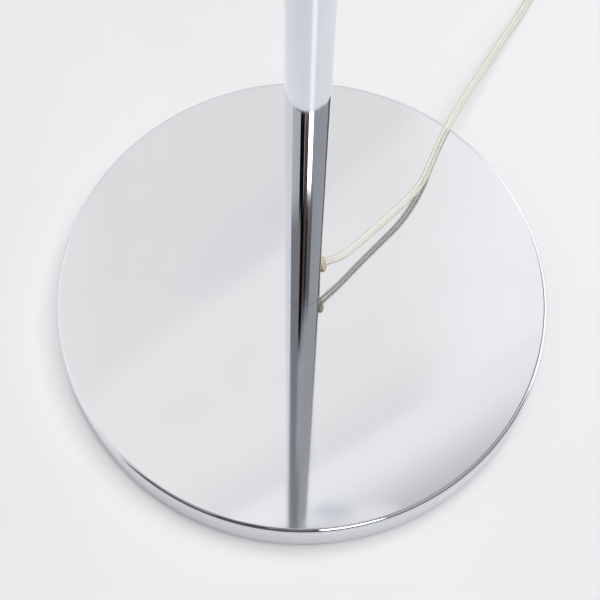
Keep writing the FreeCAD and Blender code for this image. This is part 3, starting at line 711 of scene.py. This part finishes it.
# ---- base ---------------------------------------------------------------------------------
def base_cover():
    """Drawn cover: flat mirror top, rolled edge, hem turned in at the floor."""
    inner = base_radius - cover_wall
    under = base_top - cover_wall
    foot = 0.0012
    return turned("cover_shell", [
        (stud_hole, base_top), (base_radius, base_top, base_edge_radius),
        (base_radius, foot, 0.0014), (base_radius - hem_width, foot),
        (base_radius - hem_width, foot + cover_wall), (inner, foot + cover_wall),
        (inner, under, base_edge_radius - cover_wall), (stud_hole, under),
    ], steps=360)


def foam_ring():
    """Soft pad cut from sheet, with a pocket for the nut and holes over the screws."""
    shape = bmesh.new()
    edges = []
    for centre, radius, count in [
        ((0, 0), pad_radius, 180), ((0, 0), pad_pocket, 60),
        *[(polar(plate_screw_circle, math.radians(a)).xy, 0.0065, 24) for a in plate_screw_azimuths],
    ]:
        ring = bmesh.ops.create_circle(
            shape, cap_ends=False, radius=radius, segments=count,
            matrix=Matrix.Translation((*centre, pad_bottom)),
        )["verts"]
        edges += {e for v in ring for e in v.link_edges}
    face = bmesh.ops.triangle_fill(shape, use_beauty=True, edges=edges)["geom"]
    made = bmesh.ops.extrude_face_region(
        shape, geom=[g for g in face if isinstance(g, bmesh.types.BMFace)],
    )
    upper = [g for g in made["geom"] if isinstance(g, bmesh.types.BMVert)]
    bmesh.ops.translate(shape, verts=upper, vec=(0, 0, pad_thickness - pad_bottom))
    return finished("foam_ring", shape)


cover = link(
    "cover_shell", base_cover(), chrome("rolled_chrome", wave=0.000008),
    "root", "polished_chrome", "base_cover",
)
weigh_normals(cover)
link("foam_ring", foam_ring(), finishes["foam_pad"], "root", "foam_pad", "base_pad")


# ---- lampholder ---------------------------------------------------------------------------
def threaded_shell():
    """Upper half of the lampholder: flange, thread for the shade nut, mouth for the bulb."""
    low = holder_joint
    root = thread_radius - 0.0008
    inner = 0.0173
    shape = bmesh.new()
    spin_round(shape, [
        (0.0146, low + 0.038, 0.0008), (root, low + 0.038, 0.0014), (root, low + 0.003),
        (0.0225, low + 0.003, 0.0006), (0.0225, low, 0.0004), (inner, low),
        (inner, low + 0.012), (0.0170, low + 0.034), (0.0146, low + 0.0355),
    ], 72)
    tooth = [(root - 0.0005, 0), (root, 0), (thread_radius - 0.0001, 0.0006),
             (thread_radius - 0.0001, 0.0011), (root, 0.0017), (root - 0.0005, 0.0017)]
    add_ridge(shape, tooth, low + 0.004, low + 0.0335, 0.0025)
    return finished("threaded_shell", shape)


def rolled_cap():
    """Screw cap of the bulb: thin metal rolled into a rounded thread, with a solder rim."""
    low = cap_bottom
    root = 0.0122
    shape = bmesh.new()
    spin_round(shape, [
        (0, low), (0.0045, low), (0.0060, low + 0.0010), (0.0118, low + 0.0035, 0.0008),
        (root, low + 0.0060), (root, low + 0.0236), (0.0132, low + 0.0250, 0.0004),
        (0.0132, low + 0.0270), (0, low + 0.0270),
    ], 72)
    tooth = [(root - 0.0006, 0), (root, 0.0001), (0.0127, 0.0005), (0.0130, 0.0011),
             (0.0131, 0.0017), (0.0130, 0.0023), (0.0127, 0.0029), (root, 0.0033),
             (root - 0.0006, 0.0034)]
    add_ridge(shape, tooth, low + 0.0056, low + 0.0205, 0.0036)
    return finished("rolled_cap", shape)


def threaded_rod(name, bore, radius, low, high, pitch=0.0010):
    """Threaded tube or stud with chamfered ends."""
    root = radius - 0.0005
    inside = [(bore, high), (bore, low)] if bore else [(0, high), (0, low)]
    shape = bmesh.new()
    spin_round(shape, [*inside, (root, low), (root, high)], 40)
    tooth = [(root - 0.0003, 0), (root, 0), (radius - 0.00002, 0.0004), (root, 0.0008),
             (root - 0.0003, 0.0008)]
    add_ridge(shape, tooth, low + pitch / 2, high - pitch * 1.5, pitch, 32)
    return finished(name, shape, 50)


link("threaded_shell", threaded_shell(), finishes["holder_white"],
     "upper_pole", "holder_white", "holder_shell")
link("rolled_cap", rolled_cap(), finishes["cap_aluminium"], "upper_pole", "cap_aluminium", "bulb_cap")
link("threaded_nipple", threaded_rod("threaded_nipple", 0.0035, 0.005, 1.550, 1.589),
     finishes["zinc_steel"], "upper_pole", "zinc_steel", "nipple")
link("threaded_stud", threaded_rod("threaded_stud", 0, 0.005, 0.0045, 0.052),
     finishes["zinc_steel"], "root", "zinc_steel", "pole_stud")


# ---- shade --------------------------------------------------------------------------------
def shade_section():
    """Cloth from the top hem's end, down the wall, and up to the bottom hem's end."""
    def side(offset):
        down = [(ring_reach - ring_wire - offset, shade_high - ring_wire - hem_flap)]
        down += [hem_point(180 - a, ring_wire + offset, shade_high - ring_wire) for a in range(0, 181, 20)]
        wall = [(ring_reach + ring_wire + offset, z) for z in (1.742, 1.702, 1.672, 1.642, 1.602)]
        up = [hem_point(-a, ring_wire + offset, shade_low + ring_wire) for a in range(0, 181, 20)]
        up += [(ring_reach - ring_wire - offset, shade_low + ring_wire + hem_flap)]
        return down + wall + up
    return side(cloth) + side(0.00003)[::-1]


def hem_point(degrees, radius, height):
    angle = math.radians(degrees)
    return (ring_reach + radius * math.cos(angle), height + radius * math.sin(angle))


def notch_hem(shape):
    """Draws the bottom hem back round the ring where each arm comes in."""
    centre = shade_low + ring_wire
    for vert in shape.verts:
        radius = vert.co.xy.length
        across, rise = radius - ring_reach, vert.co.z - centre
        away = min(abs(math.remainder(math.atan2(vert.co.y, vert.co.x) - math.radians(a), math.tau))
                   for a in arm_azimuths) * ring_reach
        draw = 1 - min(max((away - 0.004) / 0.006, 0.0), 1.0)
        if vert.co.z > shade_low + 0.02 or not draw or (rise >= 0 and across > 0):
            continue
        layer = abs(across) if rise >= 0 else math.hypot(across, rise)
        length = layer * math.pi + rise if rise >= 0 else layer * -math.atan2(rise, across)
        length *= 1 - 0.72 * draw
        place = ring_reach + layer * math.cos(length / layer)
        vert.co.xy *= place / radius
        vert.co.z = centre - layer * math.sin(length / layer)


def shade_drum():
    shape = bmesh.new()
    spin_round(shape, shade_section(), 240)
    notch_hem(shape)
    middle = math.radians(lap_azimuth)
    lap = [v for v in shape.verts
           if v.co.xy.length > ring_reach + ring_wire and abs(math.atan2(v.co.y, v.co.x) - middle) < 0.03]
    for vert in lap:
        vert.co.xy *= 1 + 0.0003 / shade_radius
    return finished("shade_cloth_drum", shape, 50)


drum = link("shade_cloth_drum", shade_drum(), finishes["shade_cloth"],
            "upper_pole", "shade_cloth", "shade_drum")


# ---- studio -------------------------------------------------------------------------------
class Sky:
    """The studio round the lamp, as brightness by direction, its panels placed one by one."""

    def __init__(self):
        world = bpy.data.worlds.new("studio")
        scene.world = world
        world.use_nodes = True
        self.tree = world.node_tree
        self.tree.nodes.clear()
        way = self.add("ShaderNodeTexCoord").outputs["Generated"]
        split = self.add("ShaderNodeSeparateXYZ", {0: way}).outputs
        self.x, self.y, self.z = split[0], split[1], split[2]
        toward = self.math("MULTIPLY", self.y, -1.0)
        self.azimuth = self.math("ARCTAN2", self.x, toward)
        self.elevation = self.math("ARCSINE", self.z)
        self.light = None

    def add(self, kind, values=(), **settings):
        node = self.tree.nodes.new(kind)
        for key, value in settings.items():
            setattr(node, key, value)
        for key, value in dict(values).items():
            if isinstance(value, bpy.types.NodeSocket):
                self.tree.links.new(value, node.inputs[key])
            else:
                node.inputs[key].default_value = value
        return node

    def math(self, operation, *values):
        return self.add("ShaderNodeMath", dict(enumerate(values)), operation=operation).outputs[0]

    def ramp(self, value, start, end, low=0.0, high=1.0):
        values = {"Value": value, "From Min": start, "From Max": end, "To Min": low, "To Max": high}
        return self.add("ShaderNodeMapRange", values, interpolation_type="SMOOTHSTEP").outputs["Result"]

    def within(self, value, middle, half, blur):
        """1 within half of the middle, falling to 0 over the blur."""
        offset = self.math("ABSOLUTE", self.math("SUBTRACT", value, math.radians(middle)))
        return self.ramp(offset, math.radians(half - blur / 2), math.radians(half + blur / 2), 1.0, 0.0)

    def card(self, azimuth, elevation, half_width, half_height, tone, blur=2.0):
        """A panel at an azimuth to the right of the camera's side, seen from the base."""
        wide = self.within(self.azimuth, azimuth, half_width, blur)
        high = self.within(self.elevation, elevation, half_height, blur)
        self.blend(self.math("MULTIPLY", wide, high), tone)

    def slant(self, x, y):
        """Distance along a level direction, of the looking direction's x and y."""
        return self.math("ADD", self.math("MULTIPLY", self.x, x), self.math("MULTIPLY", self.y, y))

    def spot(self, x, y, long, wide, lean, tone, blur):
        """A soft oval patch near the zenith, by the direction's x and y, leaning from the x axis."""
        cosine, sine = math.cos(math.radians(lean)), math.sin(math.radians(lean))
        along = self.math("SUBTRACT", self.slant(cosine, sine), x * cosine + y * sine)
        across = self.math("SUBTRACT", self.slant(-sine, cosine), y * cosine - x * sine)
        shares = [self.math("DIVIDE", along, long), self.math("DIVIDE", across, wide)]
        reach = self.math("SQRT", self.math("ADD", *[self.math("MULTIPLY", v, v) for v in shares]))
        self.blend(self.ramp(reach, 1 + blur, 1 - blur), tone)

    def blend(self, share, tone):
        values = {0: share, 6: self.light, 7: (*tone, 1)}
        self.light = self.add("ShaderNodeMix", values, data_type="RGBA").outputs[2]

    def finish(self):
        """Shows the panels to polished metal only; dull surfaces and the camera get an even tone."""
        rays = self.add("ShaderNodeLightPath").outputs
        self.blend(self.math("MINIMUM", rays["Diffuse Depth"], 1.0), grey(1.0))
        self.blend(rays["Is Diffuse Ray"], grey(0.5))
        self.blend(rays["Is Camera Ray"], (0.87, 0.87, 0.88))
        back = self.add("ShaderNodeBackground", {"Color": self.light, "Strength": 1.0})
        out = self.add("ShaderNodeOutputWorld")
        self.tree.links.new(back.outputs[0], out.inputs["Surface"])


def grey(level, warm=0.0):
    return (level * (1 + warm), level, level * (1 - warm))


def build_sky():
    sky = Sky()
    # ceiling over the lamp's far side: lighter below a slanting fold, lightest to the right
    fold = sky.ramp(sky.slant(-0.644, 0.765), 0.335, 0.362)
    values = {0: fold, 6: (*grey(1.04, 0.025), 1), 7: (*grey(0.96, 0.025), 1)}
    sky.light = sky.add("ShaderNodeMix", values, data_type="RGBA").outputs[2]
    sky.spot(-0.042, 0.44, 0.06, 0.02, 40, grey(0.915, 0.01), 0.6)
    sky.blend(sky.ramp(sky.x, 0.06, 0.17), grey(1.15, 0.02))
    sky.blend(sky.ramp(sky.x, -0.15, -0.185), grey(1.0, 0.025))
    # bands that slant the other way over its near side, and a dark corner beyond them
    across = sky.slant(0.51, -0.86)
    left = sky.ramp(sky.x, 0.13, 0.07)
    sky.blend(sky.math("MULTIPLY", sky.ramp(across, -0.27, -0.228), left), grey(0.965, 0.02))
    sky.blend(sky.ramp(across, -0.228, -0.217), grey(1.08, 0.01))
    sky.blend(sky.ramp(across, -0.205, -0.15), grey(0.66, 0.02))
    sky.spot(0.058, 0.231, 0.022, 0.009, 10, grey(1.0, 0.02), 0.5)
    sky.spot(0.029, 0.235, 0.014, 0.005, 0, (0.74, 0.78, 0.82), 0.7)
    # walls: dim to the left and behind, bright to the right
    low = sky.ramp(sky.elevation, math.radians(58), math.radians(44))
    sky.blend(low, grey(0.9))
    sky.card(115, 27, 34, 27, grey(1.4), 10)
    sky.card(-105, 28, 30, 20, grey(1.1), 12)
    # ceiling over the camera, on its left and right
    sky.card(-32, 76, 51, 13.5, grey(0.285), 2.5)
    sky.card(70, 70, 52, 20, grey(0.47), 6)
    sky.card(5, 71.5, 25, 3, grey(0.5, -0.02), 3)
    sky.card(133, 62, 11, 16, grey(0.15), 3)
    # room behind the camera, below the ceiling
    sky.card(15, 25, 75, 15, grey(0.12), 6)
    sky.card(-20, 46, 40, 9, grey(0.1), 3)
    # window, and the dark shapes beside it
    sky.card(20, 50, 11, 11.5, grey(5.2), 1.2)
    sky.card(27, 64.5, 16, 2.7, grey(0.16), 2)
    sky.card(0, 62.5, 9, 5, (0.13, 0.078, 0.062), 2.5)
    sky.card(13, 64.5, 6, 2.5, grey(0.02), 2)
    sky.card(8, 58.5, 1.6, 4, grey(0.02), 1)
    sky.card(-22, 58.5, 11, 4.5, grey(0.004), 1.5)
    sky.card(-13, 65.5, 9.5, 3.5, grey(0.004), 1.5)
    sky.card(-68, 56, 3, 6.5, grey(0.7), 2)
    sky.finish()


def floor_finish():
    finish = Finish("studio_floor")
    cloud = finish.noise(1.2, 2)
    finish.sockets(
        Base_Color=finish.tint(cloud, (0.80, 0.80, 0.815), (0.815, 0.815, 0.835)),
        Roughness=0.13,
        Specular_IOR_Level=0.7,
    )
    return finish.material


def stage_piece(name, shape, finish, *seen_by):
    """Something of the studio that only these kinds of ray meet."""
    mesh = bpy.data.meshes.new(name)
    shape.to_mesh(mesh)
    shape.free()
    mesh.materials.append(finish)
    prop = bpy.data.objects.new(name, mesh)
    for ray in ("camera", "diffuse", "glossy", "transmission", "shadow"):
        setattr(prop, "visible_" + ray, ray in seen_by)
    scene.collection.objects.link(prop)


def wall_glow():
    """A ring that stands in for the light the base's mirror wall throws on the floor."""
    shape = bmesh.new()
    low, high = 0.002, 0.0305
    bmesh.ops.create_cone(
        shape, cap_ends=False, segments=120, radius1=base_radius + 0.0003, radius2=base_radius + 0.0003,
        depth=high - low, matrix=Matrix.Translation((0, 0, (low + high) / 2)),
    )
    glow = Finish("wall_glow")
    across = glow.add("ShaderNodeSeparateXYZ", {0: glow.place}).outputs[0]
    light = glow.add("ShaderNodeEmission", {
        "Color": (1, 1, 1, 1), "Strength": glow.span(across, 0.95, 0.35, -base_radius, base_radius),
    })
    glow.tree.links.new(light.outputs[0], glow.tree.nodes["Material Output"].inputs["Surface"])
    stage_piece("wall_glow", shape, glow.material, "diffuse")


def soft_light(name, place, size, energy):
    soft = bpy.data.lights.new(name, "AREA")
    soft.shape = "SQUARE"
    soft.size = size
    soft.energy = energy
    box = bpy.data.objects.new(name, soft)
    box.location = place
    box.visible_glossy = False
    box.rotation_euler = (Vector((0, 0, 0)) - box.location).to_track_quat("-Z", "Y").to_euler()
    scene.collection.objects.link(box)


def build_studio():
    shape = bmesh.new()
    bmesh.ops.create_grid(shape, x_segments=1, y_segments=1, size=30.0)
    stage_piece(
        "studio_floor", shape, floor_finish(), "camera", "diffuse", "glossy", "transmission", "shadow",
    )
    wall_glow()
    soft_light("soft_box", (0.6, 0.1, 2.4), 1.5, 35)
    scene.view_settings.view_transform = "Standard"


build_sky()
build_studio()
